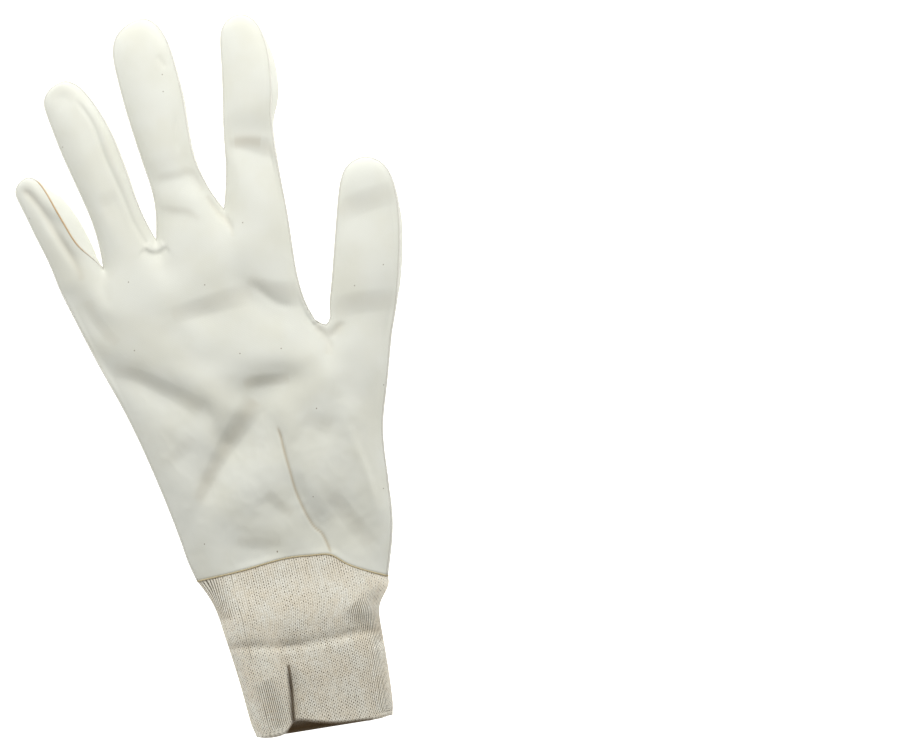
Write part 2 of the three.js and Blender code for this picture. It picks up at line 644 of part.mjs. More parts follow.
// Palm sheet
const outlineEnd = outline.length - 1;
const palmSheet = new Sheet(clothThickness);
const palmRim = outline.map((entry) =>
  palmSheet.add(entry.seam.clone().addScaledVector(entry.climb, seamGap / 2), entry.facing));
const palmWrist = (share) => {
  const a = palmSheet.points[palmRim[0]];
  const b = palmSheet.points[palmRim[outlineEnd]];
  const bow = wristCurve(share).sub(partWay(wristLeft, wristRight, share));
  return partWay(new THREE.Vector2(a.x, a.y), new THREE.Vector2(b.x, b.y), share).add(bow);
};
const palmLofts = [];
const palmGrid = layHand(palmSheet, palmRim, frontColumns, palmWrist, (place, up, wrist) => {
  const distance = distanceToEdge(place);
  const extra = (palmLoft - fingerLoft) * eased(distance / palmRound) * eased(up / heelRise);
  const z = riseFromEdge(distance, fingerLoft, edgeRound) + extra;
  const added = palmSheet.add(new THREE.Vector3(place.x, place.y, z));
  palmLofts.push({ added, distance, wrist });
  return added;
});
joinHand(palmSheet, palmGrid, false);
const palmWristRow = palmGrid.lower[0];
palmSheet.evenOut(new Set([...palmRim, ...palmWristRow]), evenPasses);
for (const { added, distance, wrist } of palmLofts) {
  const point = palmSheet.points[added];
  const depth = foldRise(handFolds, new THREE.Vector2(point.x, point.y));
  if (!wrist) point.z += depth * eased(distance / foldMargin);
}

// Back sheet: flat on the surface, curled up at the edge and rolled over it to the seam
const backSheet = new Sheet(clothThickness);
const backRim = outline.map((entry) => backSheet.add(entry.edge, entry.outward));
const backSeam = outline.map((entry) =>
  backSheet.add(entry.seam.clone().addScaledVector(entry.climb, -seamGap / 2), entry.facing));
const backGrid = layHand(backSheet, backRim, backColumns, wristCurve, (place) =>
  backSheet.add(new THREE.Vector3(place.x, place.y, curlUnder(distanceToEdge(place)))));
joinHand(backSheet, backGrid, true);
backSheet.join(backSeam, backRim);

// Wrist: one loop round the opening that both sheets and the cuff share
const wristDown = new THREE.Vector3(wristAcross.y, -wristAcross.x, 0);
const backWristRow = backGrid.lower[0];
const loop = [
  { point: outline[0].seam, on: [[palmSheet, palmWristRow[0]], [backSheet, backSeam[0]]] },
  ...palmWristRow.slice(1, -1).map((i) => ({ point: palmSheet.points[i], on: [[palmSheet, i]] })),
  {
    point: outline[outlineEnd].seam,
    on: [[palmSheet, palmWristRow[palmWristRow.length - 1]], [backSheet, backSeam[outlineEnd]]],
  },
  ...backWristRow.slice().reverse().map((i) => ({ point: backSheet.points[i], on: [[backSheet, i]] })),
];
const frontCount = palmWristRow.length;
loop.forEach((entry, n) => {
  const before = loop[(n + loop.length - 1) % loop.length].point;
  const after = loop[(n + 1) % loop.length].point;
  const run = after.clone().sub(before);
  run.addScaledVector(wristDown, -run.dot(wristDown));
  entry.facing = new THREE.Vector3().crossVectors(wristDown, run).normalize();
  for (const [sheet, i] of entry.on) sheet.fixedFacing.set(i, entry.facing);
});

// Cuff: the wrist's loop drawn down along its own centre line to the hem
const cuffAxis = new THREE.Vector2(Math.sin(cuffLean * degrees), -Math.cos(cuffLean * degrees));
const cuffAcross = new THREE.Vector2(-cuffAxis.y, cuffAxis.x);
const wristPlan = (n) => new THREE.Vector2(loop[n].point.x, loop[n].point.y);
function cuffSide(side, down) {
  const sign = side === 'left' ? -1 : 1;
  const start = side === 'left' ? wristLeft : wristRight;
  const top = start.dot(cuffAxis) / cuffLength;
  const out = Math.abs(start.dot(cuffAcross)) / cuffWidth;
  const rows = [{ down: top, left: out, right: out }];
  rows.push(...cuffSides.filter((row) => row.down > top + cuffRowClearance));
  const along = top + (1 + sign * hemSkew - top) * down;
  const reach = sign * follow(rows, 'down', side, along) * cuffWidth;
  return cuffAxis.clone().multiplyScalar(along * cuffLength).addScaledVector(cuffAcross, reach);
}
const onCuff = (across, down) => partWay(cuffSide('left', down), cuffSide('right', down), across);
const placedCuffFolds = placedFolds(cuffFolds, onCuff, cuffWidth, cuffLoft);
const cuff = new Sheet(knitThickness);
const cuffRings = [];
for (let k = 0; k <= cuffRows; k += 1) {
  const down = k / cuffRows;
  const left = cuffSide('left', down);
  const right = cuffSide('right', down);
  const width = left.distanceTo(right);
  const ring = loop.map((entry, n) => {
    if (k === 0) {
      return cuff.add(entry.point.clone().addScaledVector(wristDown, seamGap), entry.facing);
    }
    const onTop = n < frontCount;
    const share = clamped(wristPlan(n).sub(wristLeft).dot(wristAcross) / wristWidth);
    const lift = onTop ? follow(hemLift, 'across', 'lift', share) * eased(down / hemLiftReach) : 0;
    const place = partWay(cuffSide('left', down - lift), cuffSide('right', down - lift), share);
    const bow = wristPlan(n).sub(partWay(wristLeft, wristRight, share));
    place.addScaledVector(bow, 1 - eased(down / seamBendReach));
    const distance = Math.min(share, 1 - share) * width;
    const settled = eased(down / cuffSettle);
    const round = edgeRound + (cuffRound - edgeRound) * settled;
    const loft = fingerLoft + (cuffLoft - fingerLoft) * settled;
    let z = onTop ? riseFromEdge(distance, loft, round) : curlUnder(distance);
    if (onTop) z += foldRise(placedCuffFolds, place) * eased(distance / underRound) * settled;
    return cuff.add(new THREE.Vector3(place.x, place.y, z));
  });
  cuffRings.push([...ring, ring[0]]);
}
for (let k = 0; k < cuffRows; k += 1) cuff.join(cuffRings[k + 1], cuffRings[k]);

// Materials and the whole glove, stood on the middle of its underside
const drill = new THREE.MeshStandardMaterial({ color: 0xe6e6dc, roughness: 0.92, metalness: 0 });
const ribKnit = new THREE.MeshStandardMaterial({ color: 0xcfc6b4, roughness: 0.96, metalness: 0 });
const glove = new THREE.Group();
glove.add(palmSheet.body('palm_panel', drill));
glove.add(backSheet.body('back_panel', drill));
glove.add(cuff.body('knit_cuff', ribKnit));
const box = new THREE.Box3().setFromObject(glove);
const middle = box.getCenter(new THREE.Vector3());
glove.position.set(-middle.x, -middle.y, -box.min.z);

export default glove;
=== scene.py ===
"""Cotton work glove, lying palm up: its cloth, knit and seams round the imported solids.
Metres, +Z up, +Y towards the fingertips, +X towards the thumb."""
import math

import bmesh
import bpy
import numpy as np
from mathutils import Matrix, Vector, noise
from mathutils.kdtree import KDTree


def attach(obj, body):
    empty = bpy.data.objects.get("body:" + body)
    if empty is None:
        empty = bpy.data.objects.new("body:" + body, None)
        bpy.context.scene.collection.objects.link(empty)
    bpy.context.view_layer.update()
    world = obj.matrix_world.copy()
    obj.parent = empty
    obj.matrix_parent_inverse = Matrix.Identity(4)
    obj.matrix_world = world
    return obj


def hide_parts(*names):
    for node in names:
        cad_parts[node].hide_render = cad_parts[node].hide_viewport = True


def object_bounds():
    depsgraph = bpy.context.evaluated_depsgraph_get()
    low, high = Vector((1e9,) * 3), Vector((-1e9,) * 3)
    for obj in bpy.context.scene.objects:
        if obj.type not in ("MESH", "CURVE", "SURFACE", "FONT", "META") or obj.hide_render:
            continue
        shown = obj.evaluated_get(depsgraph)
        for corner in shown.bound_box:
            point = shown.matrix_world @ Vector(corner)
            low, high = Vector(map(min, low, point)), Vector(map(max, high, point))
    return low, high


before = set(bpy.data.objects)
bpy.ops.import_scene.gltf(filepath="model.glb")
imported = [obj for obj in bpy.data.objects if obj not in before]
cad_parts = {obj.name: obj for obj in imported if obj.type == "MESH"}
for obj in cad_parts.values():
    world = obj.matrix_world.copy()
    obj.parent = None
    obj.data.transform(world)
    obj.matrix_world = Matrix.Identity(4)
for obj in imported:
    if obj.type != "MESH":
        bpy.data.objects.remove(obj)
cad_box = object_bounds()
bpy.ops.object.select_all(action="DESELECT")

# Palm panel
# One piece of undyed cotton drill for the palm and the fronts of the five digits, brushed soft.
# It is sewn to the back panel inside out and turned, so the seam allowances press through it.
MM = 0.001
CM_PER_M = 100
merge_distance = 0.001 * MM
rim_angle = math.radians(62)
rim_crease = 0.75
body_levels = 2
square_share = 0.6


def spread_over(start, blocked):
    """All faces reached from one face without crossing a blocked edge."""
    found = {start}
    waiting = [start]
    while waiting:
        face = waiting.pop()
        for edge in face.edges:
            if edge in blocked:
                continue
            for other in edge.link_faces:
                if other not in found:
                    found.add(other)
                    waiting.append(other)
    return found


def sheet_from_node(node, name, pick):
    """A smooth copy of a node's closed sheet. Faces of its outside have material index 0."""
    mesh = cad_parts[node].data.copy()
    mesh.name = name
    mesh.materials.clear()
    piece = bpy.data.objects.new(name, mesh)
    bpy.context.scene.collection.objects.link(piece)
    bm = bmesh.new()
    bm.from_mesh(mesh)
    crease = bm.edges.layers.float.new("crease_edge")
    bmesh.ops.remove_doubles(bm, verts=bm.verts, dist=merge_distance)
    bmesh.ops.join_triangles(bm, faces=bm.faces[:], angle_face_threshold=math.pi,
                             angle_shape_threshold=math.pi, topology_influence=1.5)
    corners = {e for e in bm.edges if e.calc_face_angle() > rim_angle}
    outside = spread_over(pick(bm.faces, key=lambda f: f.calc_center_median().z), corners)
    for edge in corners:
        edge[crease] = rim_crease
    for face in bm.faces:
        face.smooth = True
        face.material_index = 0 if face in outside else 1
    bm.to_mesh(mesh)
    bm.free()
    for slot_name in ("outside", "inside"):
        mesh.materials.append(bpy.data.materials.new(f"{name}_{slot_name}"))
    bpy.context.view_layer.objects.active = piece
    piece.select_set(True)
    bpy.ops.object.modifier_add(type="SUBSURF")
    piece.modifiers[-1].levels = body_levels
    piece.modifiers[-1].render_levels = body_levels
    bpy.ops.object.modifier_apply(modifier=piece.modifiers[-1].name)
    piece.select_set(False)
    return piece


def share_along(edge, way):
    """Share of an edge's length that runs along a direction."""
    return abs((edge.verts[1].co - edge.verts[0].co).normalized().dot(way))


def refine_outside(piece, cuts, way=None):
    """Cuts the edges of the outside, all or those about square to a direction, and evens them out."""
    bm = bmesh.new()
    bm.from_mesh(piece.data)
    edges = {e for f in bm.faces if f.material_index == 0 for e in f.edges}
    if way is not None:
        edges = {e for e in edges if share_along(e, way) < square_share}
    bmesh.ops.subdivide_edges(bm, edges=list(edges), cuts=cuts, use_grid_fill=True)
    inner = [v for v in bm.verts if all(f.material_index == 0 for f in v.link_faces)]
    for _ in range(2):
        bmesh.ops.smooth_vert(bm, verts=inner, factor=0.5, use_axis_x=True, use_axis_y=True,
                              use_axis_z=True)
    bm.to_mesh(piece.data)
    bm.free()
    piece.data.update()


def read_mesh(mesh):
    """Places and outward directions of all vertices."""
    places = np.empty(len(mesh.vertices) * 3, np.float32)
    mesh.vertices.foreach_get("co", places)
    facing = np.empty(len(mesh.vertices) * 3, np.float32)
    mesh.vertex_normals.foreach_get("vector", facing)
    return places.reshape(-1, 3).astype(float), facing.reshape(-1, 3).astype(float)


def rim_loop(piece):
    """Places along the corner between a sheet's outside and its rim, in order round the loops."""
    bm = bmesh.new()
    bm.from_mesh(piece.data)
    beside_rim = {}
    for edge in bm.edges:
        if len({f.material_index for f in edge.link_faces}) == 2:
            for vert in edge.verts:
                beside_rim.setdefault(vert, []).append(edge.other_vert(vert))
    loops = []
    while beside_rim:
        vert = next(iter(beside_rim))
        loop = []
        while vert is not None:
            loop.append(vert.co.copy())
            onward = [v for v in beside_rim.pop(vert) if v in beside_rim]
            vert = onward[0] if onward else None
        loops.append(loop)
    bm.free()
    return loops


def write_places(mesh, places):
    """Moves all vertices to new places."""
    mesh.vertices.foreach_set("co", places.astype(np.float32).ravel())
    mesh.update()


def outside_mask(mesh):
    """1 for each vertex that belongs only to the outside, else 0."""
    mask = np.ones(len(mesh.vertices))
    for face in mesh.polygons:
        if face.material_index != 0:
            mask[list(face.vertices)] = 0
    return mask


def curve_through(points, steps=10):
    """Places on a smooth curve through a few points, in millimetres."""
    points = [np.array(p, float) for p in points]
    ends = [2 * points[0] - points[1], *points, 2 * points[-1] - points[-2]]
    found = []
    for a, b, c, d in zip(ends, ends[1:], ends[2:], ends[3:]):
        for t in np.linspace(0, 1, steps, endpoint=False):
            found.append(0.5 * (2 * b + (c - a) * t + (2 * a - 5 * b + 4 * c - d) * t ** 2
                                + (3 * b - a - 3 * c + d) * t ** 3))
    return np.array([*found, points[-1]])


def beside(flat, path):
    """Distance of each place from a path, positive to its left, and the share along it. The path
    runs straight on past both its ends, where the share is below 0 or above 1."""
    gap = np.full(len(flat), np.inf)
    side = np.ones(len(flat))
    share = np.zeros(len(flat))
    lengths = np.linalg.norm(np.diff(path, axis=0), axis=1)
    before = np.concatenate([[0], np.cumsum(lengths)])
    for k, length in enumerate(lengths):
        way = (path[k + 1] - path[k]) / length
        offset = flat - path[k]
        last = k == len(lengths) - 1
        t = np.clip(offset @ way, 0 if k else -np.inf, np.inf if last else length)
        away = offset - t[:, None] * way
        distance = np.hypot(away[:, 0], away[:, 1])
        nearer = distance < gap
        gap[nearer] = distance[nearer]
        side[nearer] = np.sign(way[0] * away[nearer, 1] - way[1] * away[nearer, 0])
        share[nearer] = (before[k] + t[nearer]) / before[-1]
    return gap * side, share


def eased(t):
    """0 below 0, 1 above 1 and smooth between."""
    t = np.clip(t, 0, 1)
    return t * t * (3 - 2 * t)


# share of a dent's slope that is straight, widths over which the cloth rises again below it, and
# share of its path that it covers
dent_straight = 0.75
dent_recovery = 1.7
dent_reach = 0.95


def fold_height(flat, fold):
    """Height of one fold at each place, in millimetres as its path is. A valley is lowest on its
    path, and a ridge is a valley of negative depth. A dent slopes down evenly across its width,
    from left to right of its path, rises gently beyond and dies away past its ends. A step is
    high to the left of its path and low to the right. A lap is a step with a sharp edge. All but
    dents fade to nothing at the ends of their paths."""
    path = curve_through(fold["path"])
    widths = np.atleast_1d(fold["width"])
    reach = 7 * widths.max()
    near = np.all((flat > path.min(0) - reach) & (flat < path.max(0) + reach), axis=1)
    height = np.zeros(len(flat))
    if not near.any():
        return height
    gap, share = beside(flat[near], path)
    width = widths[0] + (widths[-1] - widths[0]) * np.clip(share, 0, 1)
    if fold["kind"] == "dent":
        strength = np.exp(-np.abs((2 * share - 1) / dent_reach) ** 3)
    else:
        start, end = fold["fade"]
        strength = eased(share / start) * eased((1 - share) / end)
    if fold["kind"] == "valley":
        shape = -np.exp(-(gap / width) ** 2)
    elif fold["kind"] == "dent":
        fall = 0.5 - gap / width
        slope = dent_straight * np.clip(fall, 0, 1) + (1 - dent_straight) * eased(fall)
        beyond = np.maximum(fall - 1, 0) / dent_recovery
        shape = -slope * np.exp(-beyond ** 2) * width / widths.mean()
    elif fold["kind"] == "step":
        shape = np.tanh(1.5 * gap / width) * np.exp(-(gap / (2.8 * width)) ** 2)
    else:
        shape = np.sign(gap) * np.exp(-np.abs(gap) / width) * eased(np.abs(gap) / fold["edge"])
    height[near] = fold["depth"] * strength * shape
    return height


def fold(kind, path, width, depth, fade=(0.28, 0.28), edge=0.6):
    """One fold in millimetres. Its width is one value or two, for the start and end of its path,
    and it fades in and out over shares of its length. The edge is how wide a lap's edge is."""
    return {"kind": kind, "path": path, "width": width, "depth": depth, "fade": fade, "edge": edge}


# lines on the palm, in millimetres
tuck_line = [(24.5, -17.5), (26.0, -21.0), (27.5, -27.0), (29.5, -34.0), (31.5, -41.0),
             (34.5, -48.0), (38.0, -54.0), (41.0, -56.8), (43.0, -60.5), (44.7, -64.6)]
ring_line = [(-49.0, 101.0), (-45.0, 96.0), (-41.5, 90.0), (-38.0, 80.0), (-33.0, 69.0),
             (-30.0, 62.0), (-27.5, 56.0), (-24.0, 50.0), (-22.0, 46.8)]
ring_ridge = [(-46.5, 101.2), (-42.3, 96.5), (-38.8, 90.5), (-35.4, 80.8), (-30.5, 69.8),
              (-27.5, 62.8), (-25.0, 56.9), (-21.8, 51.4)]
little_line = [(-68.0, 68.3), (-64.5, 65.3), (-61.0, 61.0), (-58.5, 57.0), (-55.5, 52.0), (-51.0, 45.0),
               (-47.0, 38.5), (-45.5, 34.0)]
middle_line = [(-1.0, 66.0), (3.0, 60.0), (6.0, 57.0), (8.0, 54.0), (9.0, 50.0)]
crotch_line = [(33.5, 24.5), (38.0, 18.3), (43.5, 12.5), (43.0, 6.5)]
palm_folds = [
    # seam allowances that show through beside the digits
    fold("valley", ring_line, 0.9, 0.5, (0.1, 0.03)),
    fold("valley", ring_ridge, 1.3, -0.4),
    fold("step", [(-23.5, 46.8), (-21.0, 45.2), (-18.0, 45.2), (-15.3, 47.4)], 1.0, 0.7, (0.1, 0.1)),
    fold("valley", little_line, 1.4, 0.65, (0.1, 0.3)),
    fold("valley", [(-18.8, 116.5), (-15.2, 111.0)], 1.1, 0.3),
    fold("valley", [(-12.2, 95.0), (-11.7, 86.0), (-10.6, 80.4)], 0.8, 0.3),
    fold("valley", middle_line, 1.1, 0.65),
    fold("valley", crotch_line, 1.1, 0.5),
    fold("valley", [(49.5, 20.0), (46.0, 16.5), (43.8, 12.8)], 1.2, 0.5),
    fold("step", [(61.8, -49.0), (60.0, -39.0), (57.0, -31.0), (53.0, -21.0), (50.0, -13.0)], 1.5, 0.25),
    fold("valley", [(60.5, -50.0), (58.6, -39.5), (55.6, -31.5), (51.6, -21.5), (48.6, -13.5)], 1.3, -0.2),
    # dents across the fingers
    fold("dent", [(7.0, 84.4), (12.0, 84.6), (17.5, 83.8), (27.0, 82.0)], (3.0, 9.0), 2.0),
    fold("dent", [(-18.7, 71.7), (-11.5, 73.1), (-7.0, 74.6)], 3.4, 0.65),
    fold("dent", [(-8.6, 75.0), (-5.5, 73.4), (-3.5, 70.5), (-2.0, 67.0)], 3.0, 0.65),
    fold("dent", [(-17.6, 61.2), (-12.0, 60.2), (-7.5, 59.6), (-3.0, 56.8)], 2.6, 0.45),
    fold("dent", [(-57.5, 102.2), (-52.5, 103.0), (-48.5, 101.0)], 4.4, 0.7),
    fold("dent", [(-39.5, 63.0), (-33.0, 66.0)], 5.0, 0.55),
    fold("dent", [(-44.0, 28.0), (-41.0, 21.5), (-37.5, 16.5), (-33.0, 11.5)], 4.2, 0.8),
    # dents in the palm
    fold("dent", [(-35.0, 2.5), (-27.0, 0.6), (-20.0, -2.2), (-14.0, -5.2), (-8.0, -8.3), (-1.5, -12.0)],
         (4.6, 7.0), 1.25),
    fold("dent", [(-14.0, 21.6), (-5.0, 24.4), (1.2, 26.2), (8.0, 28.2), (16.5, 30.4)], (6.0, 8.4), 1.7),
    fold("dent", [(13.8, 35.2), (18.0, 33.4), (24.0, 31.2), (31.0, 30.2), (39.0, 30.0)], (3.0, 12.0), 1.6),
    fold("valley", [(14.5, 35.0), (17.5, 32.2), (21.0, 29.0), (24.0, 26.6), (29.0, 25.2), (33.0, 25.6)],
         1.7, 0.4),
    fold("dent", [(12.5, -3.2), (16.5, -1.8), (22.5, -1.1), (29.5, -0.6)], 4.4, 1.3),
    fold("dent", [(29.0, 0.6), (34.0, 4.0), (38.5, 8.0)], 4.0, 0.15),
    fold("dent", [(-4.4, -46.0), (2.0, -33.0), (6.0, -26.0), (10.0, -19.5), (13.6, -14.0), (17.4, -8.0)],
         (3.6, 9.4), 3.0),
    fold("dent", [(-14.5, -32.0), (-9.5, -26.5), (-5.5, -22.0)], 5.2, 0.8),
    fold("dent", [(35.0, -13.5), (40.0, -16.5), (45.0, -17.5)], 6.0, 0.8),
    fold("dent", [(21.0, -41.8), (25.0, -45.6), (30.5, -49.8)], 4.2, 0.9),
    fold("dent", [(39.0, -48.3), (46.5, -52.2)], 3.8, 0.35),
    fold("dent", [(44.0, -41.5), (49.0, -48.0), (53.5, -54.0), (59.0, -61.0)], 6.4, 1.4),
    fold("dent", [(10.0, -59.4), (18.0, -60.4), (26.5, -59.8)], 4.6, 0.8),
    fold("dent", [(-18.5, 15.6), (-9.0, 20.4)], 5.0, 0.3),
    fold("dent", [(-12.5, 10.9), (0.5, 4.2)], 7.0, 0.45),
    fold("dent", [(14.0, -22.3), (26.0, -24.2)], 6.0, 0.35),
    # thumb
    fold("dent", [(37.5, 19.6), (43.5, 16.6), (49.0, 20.0)], 3.0, 0.55),
    fold("dent", [(48.5, 2.0), (52.0, -3.5), (54.5, -9.0)], 6.0, 0.45),
    fold("dent", [(44.2, 24.1), (50.0, 25.8), (56.5, 27.0), (68.4, 28.1)], 8.0, 1.5),
    fold("dent", [(46.0, 58.8), (52.0, 61.6), (58.4, 64.2), (70.0, 67.8)], 8.4, 1.4),
    # tuck that runs up from the wrist
    fold("valley", tuck_line, 0.5, 0.6, (0.1, 0.02)),
    fold("lap", tuck_line, 3.0, -0.25, (0.3, 0.02)),
]
ripple_size = 17 * MM
ripple_height = 0.16 * MM
wrinkle_size = 7 * MM
wrinkle_height = 0.22 * MM


def ripples(places, size, height, seed):
    """Low uneven swells, as cloth has that was packed and laid out again."""
    shift = Vector((seed, 2.7 * seed, 0))
    found = [noise.noise(Vector((p[0], p[1], 0)) / size + shift)
             + 0.5 * noise.noise(Vector((p[0], p[1], 0)) * 2.1 / size + shift) for p in places]
    return np.array(found) * height


crotch_tip = (42.1, 17.8)
crotch_centre = (41.0, 22.0)
crotch_radius = 2.9
crotch_reach = 4.5
crotch_lift = 1.9


def round_crotch(piece):
    """Makes the sharp end of the gap beside the thumb round, as the turned seam lies there."""
    places, _ = read_mesh(piece.data)
    flat = places[:, :2] / MM
    near = np.exp(-np.sum((flat - crotch_tip) ** 2, axis=1) / crotch_reach ** 2)
    flat[:, 1] += crotch_lift * near
    offset = flat - crotch_centre
    away = np.hypot(offset[:, 0], offset[:, 1])
    pushed = np.cbrt(away ** 3 + crotch_radius ** 3)
    share = np.exp(-(away / (3 * crotch_radius)) ** 2)
    flat = crotch_centre + offset * (1 + share * (pushed / away - 1))[:, None]
    write_places(piece.data, np.column_stack([flat * MM, places[:, 2]]))


def inside_rim(places, rim, reach):
    """0 on the rim, rising to 1 at a reach from it."""
    tree = KDTree(len(rim))
    for n, place in enumerate(rim):
        tree.insert(place, n)
    tree.balance()
    return eased(np.array([tree.find(p)[2] for p in places]) / reach)


def give_attribute(piece, name, values):
    """Stores one value for each vertex, for a material to read."""
    layer = piece.data.attributes.new(name, "FLOAT", "POINT")
    layer.data.foreach_set("value", values.astype(np.float32))


line_fade_in = 0.06
line_fade_out = 0.04


def lines_mask(flat, lines):
    """Strength of the strongest of a few soft lines at each place, and 0 away from them. Each is a
    path, a width and a strength."""
    mask = np.zeros(len(flat))
    for path, width, strength in lines:
        path = curve_through(path)
        near = np.all((flat > path.min(0) - 3 * width) & (flat < path.max(0) + 3 * width), axis=1)
        gap, share = beside(flat[near], path)
        inner = eased(share / line_fade_in) * eased((1 - share) / line_fade_out)
        mask[near] = np.maximum(mask[near], strength * inner * np.exp(-(gap / width) ** 2))
    return mask


rim_fade = 2.4 * MM
rumpled_from = 22
rumpled_over = 60
# width and strength of the painted tan shade in each dent, by its width and steepness
dent_shade_width = 0.42
dent_shade_strength = 0.3
palm = sheet_from_node("palm_panel", "palm_panel_cloth", max)
round_crotch(palm)
palm_rim = rim_loop(palm)
refine_outside(palm, cuts=1)
places, _ = read_mesh(palm.data)
flat = places[:, :2] / MM
rise = sum(fold_height(flat, one) for one in palm_folds) * MM
rise = rise + ripples(places, ripple_size, ripple_height, seed=3.1)
rumpled = eased((rumpled_from - flat[:, 1]) / rumpled_over)
rise = rise - np.abs(ripples(places, wrinkle_size, wrinkle_height, seed=7.7)) * rumpled
rise = rise * inside_rim(places, palm_rim[0], rim_fade)
write_places(palm.data, places + rise[:, None] * np.array([0, 0, 1]))
painted_shade_lines = [
    # painted tan shade in folds and beside seams: path, width and strength of each line
    (tuck_line, 0.42, 0.5),
    ([(40.5, 15.5), (43.5, 12.6), (43.2, 8.0)], 1.8, 0.1),
    ([(38.5, 18.6), (43.5, 15.6), (48.0, 19.0)], 2.0, 0.12),
    (little_line, 1.3, 0.12),
    (middle_line, 0.9, 0.1),
    ([(9.0, 84.8), (14.0, 85.2), (19.0, 84.6)], 2.4, 0.22),
]
# each dent also gets painted tan shade, stronger the steeper it is
for dent in (one for one in palm_folds if one["kind"] == "dent"):
    width = np.mean(dent["width"])
    painted_shade_lines.append((dent["path"], dent_shade_width * width, dent_shade_strength * (dent["depth"] / width)))
# the palm's tan attribute is painted shade in its folds and dents
give_attribute(palm, "tan", lines_mask(flat, painted_shade_lines))


side_spread = 0.7


def weave_map(piece, top):
    """A UV map in centimetres that spreads the cloth outward down its rounded sides."""
    places, facing = read_mesh(piece.data)
    drop = np.clip(top - places[:, 2], 0, None)
    spread = (places[:, :2] + facing[:, :2] * drop[:, None] * side_spread) * CM_PER_M
    corners = np.empty(len(piece.data.loops), np.int32)
    piece.data.loops.foreach_get("vertex_index", corners)
    layer = piece.data.uv_layers.new(name="weave")
    layer.data.foreach_set("uv", spread[corners].astype(np.float32).ravel())


weave_map(palm, cad_box[1].z)


def srgb(red, green, blue):
    """An on-screen colour, 0 to 255, as the linear colour that shaders take."""
    def linear(c):
        c = c / 255
        return c / 12.92 if c <= 0.04045 else ((c + 0.055) / 1.055) ** 2.4
    return (linear(red), linear(green), linear(blue), 1)


class Shader:
    """A node tree under construction, with a Principled shader and its output."""
    band_rate = 20  # a wave node's bands are the sine of 20 times its scale times the distance

    def __init__(self, name):
        self.material = bpy.data.materials.new(name)
        self.material.use_nodes = True
        self.tree = self.material.node_tree
        self.principled = self.tree.nodes["Principled BSDF"]

    def node(self, kind, **settings):
        made = self.tree.nodes.new(kind)
        for key, value in settings.items():
            setattr(made, key, value)
        return made

    def link(self, output, target):
        self.tree.links.new(output, target)

    def set(self, **sockets):
        for key, value in sockets.items():
            self.principled.inputs[key.replace("_", " ")].default_value = value

    def math(self, operation, a, b=None):
        made = self.node("ShaderNodeMath", operation=operation)
        for socket, value in zip(made.inputs, (a, b)):
            if value is None:
                continue
            if isinstance(value, (int, float)):
                socket.default_value = value
            else:
                self.link(value, socket)
        return made.outputs[0]

    def uv(self, name):
        return self.node("ShaderNodeUVMap", uv_map=name).outputs[0]

    def attribute(self, name):
        return self.node("ShaderNodeAttribute", attribute_name=name).outputs["Fac"]

    def noise(self, vector, scale, detail=2.0):
        made = self.node("ShaderNodeTexNoise")
        made.inputs["Scale"].default_value = scale
        made.inputs["Detail"].default_value = detail
        self.link(vector, made.inputs["Vector"])
        return made.outputs["Fac"]

    def wave(self, vector, period, turn, distortion=0.0):
        """Bands a period apart, turned from the map's first axis by an angle in degrees."""
        mapping = self.node("ShaderNodeMapping")
        mapping.inputs["Rotation"].default_value = (0, 0, math.radians(turn))
        self.link(vector, mapping.inputs["Vector"])
        made = self.node("ShaderNodeTexWave", wave_type="BANDS", bands_direction="X")
        made.inputs["Scale"].default_value = 2 * math.pi / (self.band_rate * period)
        made.inputs["Distortion"].default_value = distortion
        made.inputs["Detail"].default_value = 1.0
        self.link(mapping.outputs[0], made.inputs["Vector"])
        return made.outputs["Fac"]

    def blend(self, share, first, second):
        """The first colour where the share is 0 and the second where it is 1."""
        made = self.node("ShaderNodeMix", data_type="RGBA")
        sockets = (made.inputs[0], made.inputs[6], made.inputs[7])
        for socket, value in zip(sockets, (share, first, second)):
            if hasattr(value, "is_output"):
                self.link(value, socket)
            else:
                socket.default_value = value
        return made.outputs[2]

    def ramp(self, value, low, high):
        """0 below low, 1 above high and smooth between."""
        made = self.node("ShaderNodeMapRange", interpolation_type="SMOOTHSTEP")
        made.inputs["From Min"].default_value = low
        made.inputs["From Max"].default_value = high
        self.link(value, made.inputs["Value"])
        return made.outputs[0]

    def bump(self, height, strength, distance):
        made = self.node("ShaderNodeBump")
        made.inputs["Strength"].default_value = strength
        made.inputs["Distance"].default_value = distance
        self.link(height, made.inputs["Height"])
        self.link(made.outputs[0], self.principled.inputs["Normal"])


# lengths on the weave map are centimetres, and scales are per centimetre
twill_pitch = 0.06
twill_turn = 63
fuzz_scale = 26
fuzz_height = 0.07 * MM
cloud_scale = 0.45
speck_scale = 0.75
speck_share = 0.2
speck_edge = (0.008, 0.022)
drill_white = srgb(225, 226, 216)
drill_cream = srgb(221, 221, 208)
drill_shade = srgb(196, 194, 178)
drill_fold_shade = srgb(160, 136, 92)
seed_brown = srgb(120, 106, 84)


